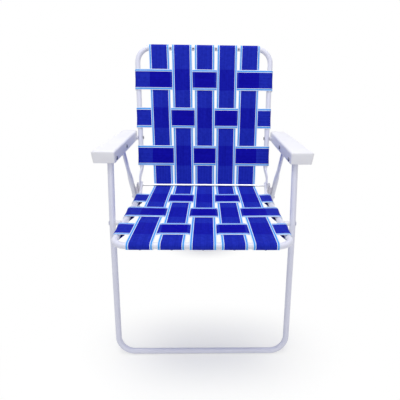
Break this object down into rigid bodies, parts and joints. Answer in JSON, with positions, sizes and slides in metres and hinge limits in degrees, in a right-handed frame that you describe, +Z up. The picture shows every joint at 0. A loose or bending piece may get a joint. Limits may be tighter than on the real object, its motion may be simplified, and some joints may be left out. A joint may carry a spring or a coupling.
{
  "type": "folding lawn chair",
  "caption": "Folding lawn chair with bent tube frames, moulded channel armrests and a woven strap seat and back that fold flat together.",
  "frame": {"origin": "on the floor, at the middle of the chair's footprint", "axes": "+Z up, -Y towards the sitter's front, +X towards the sitter's left"},
  "size_m": [0.549, 0.5848, 0.7761],
  "materials": {
    "tube_enamel": "gloss white enamel, slightly worn",
    "steel_fittings": "satin",
    "webbing": "woven polypropylene strap with light blue edge bands",
    "arm_plastic": "semi-gloss moulded",
    "spacer_plastic": "moulded",
    "plated_steel": "zinc plated"
  },
  "bodies": {
    "front_legs": {"front_leg_frame": "tube_enamel", "front_arm_bolt_left": "plated_steel", "front_arm_bolt_right": "plated_steel", "seat_bolt_left": "plated_steel", "seat_bolt_right": "plated_steel", "seat_spacer_left": "spacer_plastic", "seat_spacer_right": "spacer_plastic"},
    "seat": {"seat_frame": "tube_enamel", "hinge_rod": "steel_fittings", "seat_row_1": "webbing", "seat_row_2": "webbing", "seat_row_3": "webbing", "seat_column_1": "webbing", "seat_column_2": "webbing", "seat_column_3": "webbing", "seat_column_4": "webbing", "seat_column_5": "webbing", "hinge_bush_left": "spacer_plastic", "hinge_bush_right": "spacer_plastic"},
    "back": {"back_frame": "tube_enamel", "back_row_1": "webbing", "back_row_2": "webbing", "back_row_3": "webbing", "back_column_1": "webbing", "back_column_2": "webbing", "back_column_3": "webbing", "back_column_4": "webbing", "back_column_5": "webbing", "back_arm_stud_left": "plated_steel", "back_arm_stud_right": "plated_steel", "back_spacer_left": "spacer_plastic", "back_spacer_right": "spacer_plastic"},
    "left_arm": {"armrest_left": "arm_plastic", "arm_rear_nut_left": "plated_steel"},
    "right_arm": {"armrest_right": "arm_plastic", "arm_rear_nut_right": "plated_steel"},
    "rear_legs": {"rear_leg_frame": "tube_enamel", "rear_arm_bolt_left": "plated_steel", "rear_arm_bolt_right": "plated_steel", "rear_leg_stud_left": "plated_steel", "rear_leg_stud_right": "plated_steel", "link_bush_left": "spacer_plastic", "link_bush_right": "spacer_plastic"},
    "left_link": {"link_left": "steel_fittings", "link_rivet_left": "plated_steel"},
    "right_link": {"link_right": "steel_fittings", "link_rivet_right": "plated_steel"}
  },
  "joints": [
    {"name": "fold", "type": "hinge", "parent": "front_legs", "child": "seat", "pos_m": [0, -0.16494, 0.37184], "axis": [-1, 0, 0], "range_deg": [0, 90]},
    {"name": "back_hinge", "type": "hinge", "parent": "seat", "child": "back", "pos_m": [0, 0.087, 0.3717], "axis": [1, 0, 0], "range_deg": [0, 98]},
    {"name": "left_arm_hinge", "type": "hinge", "parent": "front_legs", "child": "left_arm", "pos_m": [0.2232, -0.11452, 0.52983], "axis": [-1, 0, 0], "range_deg": [0, 86.5]},
    {"name": "right_arm_hinge", "type": "hinge", "parent": "front_legs", "child": "right_arm", "pos_m": [-0.2232, -0.11452, 0.52983], "axis": [-1, 0, 0], "range_deg": [0, 86.5]},
    {"name": "rear_leg_hinge", "type": "hinge", "parent": "left_arm", "child": "rear_legs", "pos_m": [0, 0.0044, 0.52389], "axis": [1, 0, 0], "range_deg": [0, 45]},
    {"name": "left_link_hinge", "type": "hinge", "parent": "seat", "child": "left_link", "pos_m": [0.21025, 0.087, 0.3717], "axis": [-1, 0, 0], "range_deg": [0, 118.1]},
    {"name": "right_link_hinge", "type": "hinge", "parent": "seat", "child": "right_link", "pos_m": [-0.21025, 0.087, 0.3717], "axis": [-1, 0, 0], "range_deg": [0, 118.1]}
  ],
  "couplings": [
    {"joint": "back_hinge", "follows": "fold", "ratio": 1.0874},
    {"joint": "left_arm_hinge", "follows": "fold", "ratio": 0.96009},
    {"joint": "right_arm_hinge", "follows": "fold", "ratio": 0.96009},
    {"joint": "rear_leg_hinge", "follows": "fold", "ratio": 0.49971},
    {"joint": "left_link_hinge", "follows": "fold", "ratio": 1.3115},
    {"joint": "right_link_hinge", "follows": "fold", "ratio": 1.3115}
  ]
}
